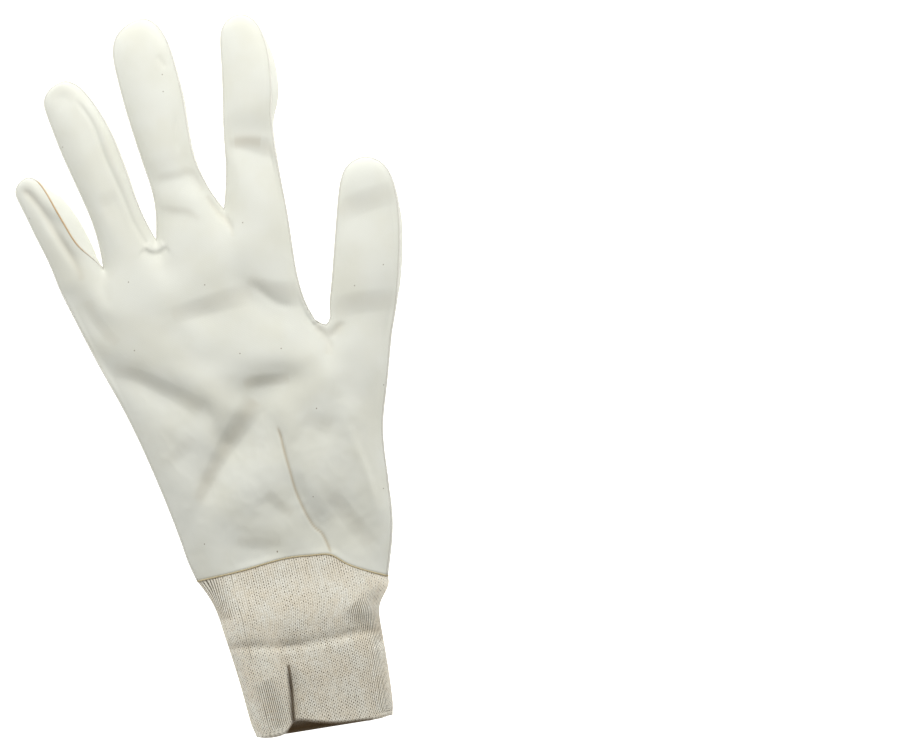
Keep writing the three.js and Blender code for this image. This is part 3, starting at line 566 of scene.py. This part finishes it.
def drill_cloth(name):
    """Brushed cotton drill: fine diagonal twill, soft fuzz, faint cream clouds, painted tan shade in its
    folds and dents, and the dark specks of cotton seed."""
    cloth = Shader(name)
    weave = cloth.uv("weave")
    twill = cloth.wave(weave, twill_pitch, twill_turn, 0.5)
    fuzz = cloth.noise(weave, fuzz_scale, 3)
    cloth.bump(cloth.math("ADD", cloth.math("MULTIPLY", twill, 0.5), fuzz), 0.3, fuzz_height)
    clouds = cloth.ramp(cloth.noise(weave, cloud_scale, 3), 0.35, 0.68)
    colour = cloth.blend(clouds, drill_white, drill_cream)
    colour = cloth.blend(cloth.math("MULTIPLY", fuzz, 0.12), colour, drill_shade)
    # painted tan shade in folds and dents, where the tan attribute says
    colour = cloth.blend(cloth.attribute("tan"), colour, drill_fold_shade)
    cells = cloth.node("ShaderNodeTexVoronoi", voronoi_dimensions="2D")
    cells.inputs["Scale"].default_value = speck_scale
    cloth.link(weave, cells.inputs["Vector"])
    parts = cloth.node("ShaderNodeSeparateColor")
    cloth.link(cells.outputs["Color"], parts.inputs[0])
    chosen = cloth.math("GREATER_THAN", parts.outputs[0], 1 - speck_share)
    near = cloth.math("SUBTRACT", 1.0, cloth.ramp(cells.outputs["Distance"], *speck_edge))
    colour = cloth.blend(cloth.math("MULTIPLY", near, chosen), colour, seed_brown)
    cloth.link(colour, cloth.principled.inputs["Base Color"])
    cloth.set(Roughness=0.92, Sheen_Weight=0.15, Sheen_Roughness=0.6, Specular_IOR_Level=0.15)
    return cloth.material


def finish_cloth(piece, material, node):
    """Gives a sheet its material and puts it in its node's place."""
    piece.data.materials.clear()
    piece.data.materials.append(material)
    piece.data.polygons.foreach_set("material_index", np.zeros(len(piece.data.polygons), np.int32))
    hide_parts(node)
    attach(piece, "root")


drill = drill_cloth("drill_cloth")
finish_cloth(palm, drill, "palm_panel")

# Back panel
# The other piece of drill, for the back of the hand. It lies on the surface, curls up at the
# edge and wraps over it to the seam, furthest beside the little finger and the index finger.
underside_top = 3.5 * MM
swell_size = 1.3 * ripple_size
swell_height = 0.8 * MM
back = sheet_from_node("back_panel", "back_panel_cloth", min)
round_crotch(back)
back_rim = rim_loop(back)
refine_outside(back, cuts=1)
places, _ = read_mesh(back.data)
low = eased(1 - places[:, 2] / underside_top) * inside_rim(places, back_rim[0], rim_fade)
swell = eased(ripples(places, swell_size, 1.6, seed=8.4) - 0.1)
rise = swell_height * swell * low
write_places(back.data, places + rise[:, None] * np.array([0, 0, 1]))
weave_map(back, cad_box[1].z)
finish_cloth(back, drill, "back_panel")

# Side seam
# Cream cotton sewing thread of the seam between the two panels, seen deep between their folded
# edges. It runs from one side of the cuff round every digit to the other, and is stained beside
# the little finger.
side_thread_radius = 0.3 * MM
side_thread_light = srgb(238, 237, 228)
side_thread_dark = srgb(226, 224, 212)
side_thread_stain = srgb(206, 172, 124)
ply_pitch = 0.06
ply_height = 0.06 * MM
seam_reach = 0.75 * MM
thread_sides = 6


def between_rims(loop, others, whole):
    """Middle of the gap from each place of a rim to the nearest place of the others. Unless it is
    whole, it starts and ends where the gap is wider than a seam."""
    middles = []
    for place in loop:
        distance, other = min(((o - place).length, n) for n, o in enumerate(others))
        middles.append((place + others[other]) / 2 if distance < seam_reach or whole else None)
    if whole:
        return middles
    start = max(range(len(middles)), key=lambda n: middles[n - 1] is None and middles[n] is not None)
    turned = middles[start:] + middles[:start]
    return [m for m in turned if m is not None]


def thread_along(name, path, closed, radius):
    """A round thread along a path, with a UV map of turns round it and centimetres along it."""
    bm = bmesh.new()
    uv = bm.loops.layers.uv.new("thread")
    rings = []
    lengths = [0.0]
    count = len(path)
    path = [Vector((p.x, p.y, max(p.z, radius))) for p in path]
    turns = [2 * math.pi * k / thread_sides for k in range(thread_sides)]
    for n, place in enumerate(path):
        after = path[(n + 1) % count] if closed else path[min(n + 1, count - 1)]
        before = path[n - 1] if closed or n else path[0]
        way = (after - before).normalized()
        side = way.cross(Vector((0, 0, 1))).normalized()
        up = side.cross(way)
        lengths.append(lengths[-1] + (after - place).length)
        ring = [place + (side * math.cos(a) + up * math.sin(a)) * radius for a in turns]
        rings.append([bm.verts.new(corner) for corner in ring])
    pairs = list(zip(rings, rings[1:])) + ([(rings[-1], rings[0])] if closed else [])
    for n, (ring, following) in enumerate(pairs):
        for k in range(thread_sides):
            j = (k + 1) % thread_sides
            face = bm.faces.new((ring[k], ring[j], following[j], following[k]))
            face.smooth = True
            around = (k, k + 1, k + 1, k)
            along = (lengths[n], lengths[n], lengths[n + 1], lengths[n + 1])
            for corner, a, b in zip(face.loops, around, along):
                corner[uv].uv = (a / thread_sides, b * CM_PER_M)
    if not closed:
        bm.faces.new(rings[0])
        bm.faces.new(reversed(rings[-1]))
    bmesh.ops.recalc_face_normals(bm, faces=bm.faces)
    mesh = bpy.data.meshes.new(name)
    bm.to_mesh(mesh)
    bm.free()
    piece = bpy.data.objects.new(name, mesh)
    bpy.context.scene.collection.objects.link(piece)
    return piece


def sewing_thread(name, light, dark, stain_and_shade):
    """Plied cotton thread: its plies turn round it, and it takes a stain colour where its attribute says.
    """
    thread = Shader(name)
    plies = thread.wave(thread.uv("thread"), ply_pitch, 40)
    thread.bump(plies, 0.6, ply_height)
    colour = thread.blend(plies, dark, light)
    colour = thread.blend(thread.attribute("tan"), colour, stain_and_shade)
    thread.link(colour, thread.principled.inputs["Base Color"])
    thread.set(Roughness=0.85, Sheen_Weight=0.15, Specular_IOR_Level=0.2)
    return thread.material


little_seam = [(-63.5, 71.5), (-56.0, 60.5), (-50.0, 50.0), (-44.0, 40.0), (-38.6, 31.0)]
side_path = between_rims(palm_rim[0], back_rim[0], False)
side_seam = thread_along("side_seam_thread", side_path, False, side_thread_radius)
places, _ = read_mesh(side_seam.data)
give_attribute(side_seam, "tan", lines_mask(places[:, :2] / MM, [(little_seam, 2.2, 1.0)]))
side_thread = sewing_thread("side_thread", side_thread_light, side_thread_dark, side_thread_stain)
side_seam.data.materials.append(side_thread)
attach(side_seam, "root")

# Knit cuff
# A tube of undyed cotton rib knit with an open mouth, which keeps dust and chips out of the glove.
# It is knitted round and sewn to both panels at the wrist, where it is stretched, so that its
# wales fan out. It is folded flat as it lies, with a crease across it and a pleat at the hem.
cuff = sheet_from_node("knit_cuff", "knit_cuff_rib", max)
cuff_rim = rim_loop(cuff)
cuff_lean = math.radians(12.9)
cuff_way = Vector((math.sin(cuff_lean), -math.cos(cuff_lean), 0))
refine_outside(cuff, cuts=5, way=cuff_way)
wales_across = 86
course_length = 1.05 * MM
edge_level = 3.0 * MM
side_round = 8 * MM
side_rise = 7 * MM
under_round = 4 * MM
rib_height = 0.18 * MM
round_stretch = 1.02
station_count = 40
joint_stations = 12
full_width = 0.97


def quarter_turn(wide, high, inset, up):
    """Length along a quarter of an ellipse, from its upright end to a place on it."""
    quarter = (wide + high) * math.pi / 4 * round_stretch
    turn = np.arctan2(np.clip(up / high, 0, None), np.clip(1 - inset / wide, 0, None))
    return quarter * turn / (math.pi / 2) + np.clip(inset - wide, 0, None)


def knit_places(places, on_top):
    """Wale and course numbers of places on the cuff's outside, from its sides and its hem."""
    along = places[:, 0] * cuff_way.x + places[:, 1] * cuff_way.y
    across = -places[:, 0] * cuff_way.y + places[:, 1] * cuff_way.x
    stations = np.linspace(along.min(), along.max(), station_count)
    left = np.empty(len(stations))
    right = np.empty(len(stations))
    step = stations[1] - stations[0]
    for k, station in enumerate(stations):
        level = across[np.abs(along - station) < step]
        left[k], right[k] = level.min(), level.max()
    # the joint with the hand is slanted, so the first stations don't reach from side to side
    widths = right - left
    first = np.argmax(widths > full_width * widths[:joint_stations].max())
    left[:first], right[:first] = left[first], right[first]
    for _ in range(3):
        for side in (left, right):
            side[1:-1] = (side[:-2] + 2 * side[1:-1] + side[2:]) / 4
    from_left = across - np.interp(along, stations, left)
    from_right = np.interp(along, stations, right) - across
    height = places[:, 2] - edge_level
    numbers = []
    for inset in (from_left, from_right):
        inset = np.clip(inset, 0, None)
        above = quarter_turn(side_round, side_rise, inset, height)
        below = quarter_turn(under_round, edge_level, inset, -height)
        numbers.append(np.where(on_top, above, below))
    share = numbers[0] / (numbers[0] + numbers[1])
    courses = (along.max() - along) / course_length
    return np.where(on_top, share, 2 - share) * wales_across, courses


def moved(path, right, up=0.0):
    """A path moved in the plane, in millimetres."""
    return [(x + right, y + up) for x, y in path]


crease = [(1.0, -98.6), (14.8, -97.6), (28.9, -97.4), (45.1, -94.4), (52.0, -92.8), (64.0, -91.2)]
pleat = [(31.2, -130.0), (29.9, -124.4), (29.3, -115.5), (28.8, -110.5), (28.0, -103.5)]
cuff_folds = [
    # crease across the cuff, steep on its lower side
    fold("valley", crease, 1.5, 1.2, (0.25, 0.1)),
    fold("valley", moved(crease, 0, 3.4), 3.6, 0.35, (0.35, 0.05)),
    fold("valley", moved(crease, 0, -3.4), 2.6, -0.25, (0.35, 0.2)),
    # fold at the hem whose left side lies over its right one
    fold("lap", pleat, 6.0, 1.4, (0.001, 0.45), 0.4),
    fold("valley", moved(pleat, 0.8), 0.6, 2.4, (0.001, 0.35)),
    fold("valley", moved(pleat, 2.4), 2.2, 0.5, (0.001, 0.45)),
    # bulge below the joint, at the thumb's side, and the hollow under it
    fold("valley", [(58.5, -76.0), (63.5, -79.5)], 3.0, -0.4),
    fold("valley", [(50.0, -90.0), (64.0, -88.0)], 3.0, 0.9, (0.5, 0.01)),
]
# how far the upper layer's hem sticks out right of the pleat, where, and how far up it is felt
hem_drop = 1.9
hem_drop_from = 32
hem_drop_to = 66
hem_reach = 7.0
cuff_corners = [
    # place, way to move, and how far, in millimetres: the hem's ends are round
    ((66.9, -123.8), (-0.75, 0.66), 0.9),
    ((16.3, -131.5), (0.55, 0.83), 0.8),
]
corner_reach = 3.2
upper_blend = 2.5 * MM
places, _ = read_mesh(cuff.data)
flat = places[:, :2] / MM
upper = eased((places[:, 2] - edge_level) / upper_blend)
rise = sum(fold_height(flat, one) for one in cuff_folds) * MM * upper
hemward = np.array(cuff_way[:2])
above_hem = (flat @ hemward).max() - flat @ hemward
drop = eased((flat[:, 0] - hem_drop_from) / 7) * eased((hem_drop_to - flat[:, 0]) / 9)
drop = drop * np.exp(-(above_hem / hem_reach) ** 2)
flat = flat + (hem_drop * drop * upper)[:, None] * hemward
for place, way, amount in cuff_corners:
    near = np.exp(-np.sum((flat - place) ** 2, axis=1) / corner_reach ** 2)
    flat = flat + amount * near[:, None] * np.array(way)
write_places(cuff.data, np.column_stack([flat * MM, places[:, 2] + rise]))

corners = np.empty(len(cuff.data.loops), np.int32)
cuff.data.loops.foreach_get("vertex_index", corners)
mask = outside_mask(cuff.data)
top_corner = np.zeros(len(corners), bool)
for face in cuff.data.polygons:
    level = places[list(face.vertices), 2].mean()
    top_corner[list(face.loop_indices)] = level > edge_level
wale, course = knit_places(places[corners], top_corner)
layer = cuff.data.uv_layers.new(name="knit")
layer.data.foreach_set("uv", np.column_stack([wale, course]).astype(np.float32).ravel())
vertex_wale = np.zeros(len(places))
vertex_wale[corners] = wale
places, facing = read_mesh(cuff.data)
rib = np.abs(np.sin(math.pi * vertex_wale)) ** 0.7 - 1
flat = places[:, :2] / MM
# where the wales are drawn apart: path, width and strength. The ribs are highest there, and the knit's
# furrows are painted darker there as shade
spread = lines_mask(flat, [
    ([(52.0, -82.0), (60.0, -90.0), (64.0, -95.0)], 5.0, 1.0),
    ([(20.0, -110.0), (27.0, -127.0)], 4.5, 0.8),
    ([(-1.0, -73.0), (3.0, -80.0), (7.0, -88.0)], 4.0, 0.8),
    ([(61.0, -98.0), (64.0, -122.0)], 4.0, 0.7),
    ([(10.0, -74.0), (30.0, -70.0), (50.0, -68.0)], 3.5, 0.25),
])
unevenness = ripples(places, 9 * MM, 0.25, seed=5.2) + 0.8 + 0.4 * spread
give_attribute(cuff, "spread", spread)
# painted tan shade on the knit, in the pleat and beside it, along the hem, across the crease, on its left
# side and over its lower part: path, width and strength. The mouth's inside gets the darkest painted shade
stain_and_shade = lines_mask(flat, [
    (moved(pleat, 0.9), 0.7, 0.8),
    (moved(pleat, 2.2), 1.8, 0.25),
    ([(8.0, -98.0), (15.0, -118.0)], 5.0, 0.1),
    ([(32.0, -127.5), (48.0, -126.0), (62.0, -123.6)], 1.6, 0.12),
    ([(14.0, -114.0), (60.0, -106.0)], 15.0, 0.1),
    (crease, 1.4, 0.22),
])
hem_edge = np.clip(facing @ np.array(cuff_way), 0, 1)
mouth = lines_mask(flat, [([(27.0, -128.6), (40.0, -126.4), (60.0, -123.4)], 5.0, 1.0)])
# painted shade inside the cuff, lighter on the rim at the hem and darkest in the mouth
inside_shade = (1 - mask) * np.maximum(0.4 * (1 - 0.8 * hem_edge), mouth)
# the knit's tan attribute is painted shade
give_attribute(cuff, "tan", np.maximum(inside_shade, stain_and_shade * upper))
write_places(cuff.data, places + facing * (rib * rib_height * unevenness * mask)[:, None])


yarn_white = srgb(255, 253, 240)
yarn_cream = srgb(253, 246, 228)
yarn_shade = srgb(206, 186, 146)
hole_shade_brown = srgb(80, 66, 38)
knit_shade_brown = srgb(100, 78, 46)
stitch_height = 0.22 * MM
# from the middle of a wale, from the middle of a course, and courses up from the hem over which the
# painted pinhole shade fades
furrow_edge = (0.2, 0.44)
hole_edge = (0.08, 0.3)
hole_fade_courses = (22, 44)


def rib_knit(name):
    """Undyed cotton rib: V stitches in upright wales, with pinholes and furrows between them painted dark
    as shade, and painted tan shade where its attribute says. Lengths on its map are wales and courses."""
    knit = Shader(name)
    stitch = knit.uv("knit")
    parts = knit.node("ShaderNodeSeparateXYZ")
    knit.link(stitch, parts.inputs[0])
    across = knit.math("SUBTRACT", knit.math("FRACT", parts.outputs[0]), 0.5)
    lean = knit.math("ABSOLUTE", across)
    climb = knit.math("SUBTRACT", parts.outputs[1], knit.math("MULTIPLY", lean, 1.2))
    loop_round = knit.math("ABSOLUTE", knit.math("SINE", knit.math("MULTIPLY", climb, math.pi)))
    wale_round = knit.math("ABSOLUTE", knit.math("COSINE", knit.math("MULTIPLY", across, math.pi)))
    loop_height = knit.math("POWER", loop_round, 0.6)
    height = knit.math("MULTIPLY", loop_height, knit.math("POWER", wale_round, 0.5))
    fuzz = knit.noise(stitch, 3.5, 3)
    knit.bump(knit.math("ADD", height, knit.math("MULTIPLY", fuzz, 0.6)), 0.55, stitch_height)
    # one random value for each pinhole, and one for each half stitch
    cell = knit.node("ShaderNodeCombineXYZ")
    furrow = knit.math("ROUND", parts.outputs[0])
    row = knit.math("ADD", parts.outputs[1], knit.math("MULTIPLY", furrow, 0.5))
    knit.link(furrow, cell.inputs[0])
    knit.link(knit.math("FLOOR", row), cell.inputs[1])
    chance = knit.node("ShaderNodeTexWhiteNoise", noise_dimensions="2D")
    knit.link(cell.outputs[0], chance.inputs["Vector"])
    loop_cell = knit.node("ShaderNodeCombineXYZ")
    knit.link(knit.math("FLOOR", knit.math("MULTIPLY", parts.outputs[0], 2.0)), loop_cell.inputs[0])
    knit.link(knit.math("FLOOR", climb), loop_cell.inputs[1])
    loop_chance = knit.node("ShaderNodeTexWhiteNoise", noise_dimensions="2D")
    knit.link(loop_cell.outputs[0], loop_chance.inputs["Vector"])
    pace = knit.math("ABSOLUTE", knit.math("SUBTRACT", knit.math("FRACT", row), 0.5))
    valley_mask = knit.ramp(lean, *furrow_edge)
    between_rows = knit.math("SUBTRACT", 1.0, knit.ramp(pace, *hole_edge))
    pinhole = knit.math("MULTIPLY", valley_mask, between_rows)
    open_patches = knit.ramp(knit.noise(stitch, 0.09, 2), 0.3, 0.7)
    chances = knit.math("POWER", chance.outputs["Value"], 1.8)
    # a few furrows are open along their length and painted darker as shade
    slack = knit.node("ShaderNodeTexWhiteNoise", noise_dimensions="1D")
    knit.link(furrow, slack.inputs["W"])
    slack_wale = knit.math("POWER", slack.outputs["Value"], 12.0)
    upper_part = knit.ramp(parts.outputs[1], *hole_fade_courses)
    runs = knit.ramp(knit.noise(stitch, 0.07, 2), 0.45, 0.62)
    spread = knit.math("ADD", knit.attribute("spread"), knit.math("MULTIPLY", slack_wale, runs))
    # the painted pinhole shade is darker towards the hem
    lower_part = knit.math("SUBTRACT", 1.35, knit.math("MULTIPLY", upper_part, 0.65))
    unspread = knit.math("SUBTRACT", 1.0, knit.math("MULTIPLY", spread, 0.6))
    openness = knit.math("MULTIPLY", knit.math("ADD", chances, 0.24), knit.math("ADD", open_patches, 0.7))
    openness = knit.math("MULTIPLY", openness, lower_part)
    openness = knit.math("MULTIPLY", openness, unspread)
    furrow_open = knit.math("ADD", knit.math("MULTIPLY", spread, 0.95), 0.1)
    furrow_shade = knit.math("MULTIPLY", valley_mask, furrow_open)
    # painted shade: the pinholes and furrows darkened towards brown
    dark = knit.math("ADD", knit.math("MULTIPLY", pinhole, openness), furrow_shade)
    clouds = knit.ramp(knit.noise(stitch, 0.12, 3), 0.3, 0.7)
    yarn = knit.blend(clouds, yarn_white, yarn_cream)
    shaded = knit.math("MULTIPLY", loop_chance.outputs["Value"], 0.28)
    flecked = knit.blend(shaded, yarn, yarn_shade)
    colour = knit.blend(dark, flecked, hole_shade_brown)
    # painted tan shade where the tan attribute says
    colour = knit.blend(knit.attribute("tan"), colour, knit_shade_brown)
    knit.link(colour, knit.principled.inputs["Base Color"])
    knit.set(Roughness=0.95, Sheen_Weight=0.2, Sheen_Roughness=0.6, Specular_IOR_Level=0.15)
    return knit.material


finish_cloth(cuff, rib_knit("rib_knit"), "knit_cuff")

# Wrist seam
# Tan cotton thread of the overlocked seam that joins the knit to both panels: a thin line sunk
# between their edges, all round the wrist.
wrist_thread_radius = 0.24 * MM
wrist_thread_light = srgb(228, 214, 176)
wrist_thread_dark = srgb(198, 180, 138)
panel_rims = palm_rim[0] + back_rim[0]


def from_panels(loop):
    """Distance from the panels' rims to the nearest of the first places of a rim of the cuff."""
    return min((p - q).length for p in loop[:20] for q in panel_rims)


wrist_loop = min(cuff_rim, key=from_panels)
wrist_path = between_rims(wrist_loop, panel_rims, True)
wrist_seam = thread_along("wrist_seam_thread", wrist_path, True, wrist_thread_radius)
wrist_thread = sewing_thread("wrist_thread", wrist_thread_light, wrist_thread_dark, wrist_thread_dark)
wrist_seam.data.materials.append(wrist_thread)
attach(wrist_seam, "root")

# Surface, light and camera
# A plain white surface under a large soft light from beyond the fingertips.
photo_width = 0.3267
photo_centre = Vector((0.0874, 0.0023, 0))
camera_height = 2.4
floor_white = srgb(245, 245, 245)
floor_glow = 1.05
sky_light = 0.45
bpy.ops.mesh.primitive_plane_add(size=6, location=(0, 0, 0))
floor = bpy.context.active_object
floor.name = "surface"
surface = Shader("surface")
surface.set(Base_Color=floor_white, Roughness=0.9, Specular_IOR_Level=0.1,
            Emission_Color=(1, 1, 1, 1), Emission_Strength=floor_glow)
floor.data.materials.append(surface.material)

world = bpy.data.worlds.new("studio")
bpy.context.scene.world = world
world.use_nodes = True
background = world.node_tree.nodes["Background"]
background.inputs["Color"].default_value = (1, 1, 1, 1)
background.inputs["Strength"].default_value = sky_light


def soft_light(name, place, aim, size, power):
    """A rectangular lamp that faces a point. Its power is in watts."""
    bpy.ops.object.light_add(type="AREA", location=place)
    light = bpy.context.active_object
    light.name = name
    light.data.shape = "RECTANGLE"
    light.data.size, light.data.size_y = size
    light.data.energy = power
    light.rotation_euler = (Vector(aim) - Vector(place)).to_track_quat("-Z", "Y").to_euler()


soft_light("softbox", place=(0.01, 0.42, 0.35), aim=(0, 0, 0), size=(0.5, 0.2), power=2.5)

bpy.ops.object.camera_add(location=photo_centre + Vector((0, 0, camera_height)), rotation=(0, 0, 0))
camera = bpy.context.active_object
camera.data.lens = camera.data.sensor_width * camera_height / photo_width
camera.data.clip_start = 0.1
camera.data.clip_end = 20
bpy.context.scene.camera = camera
bpy.context.scene.view_settings.view_transform = "Standard"
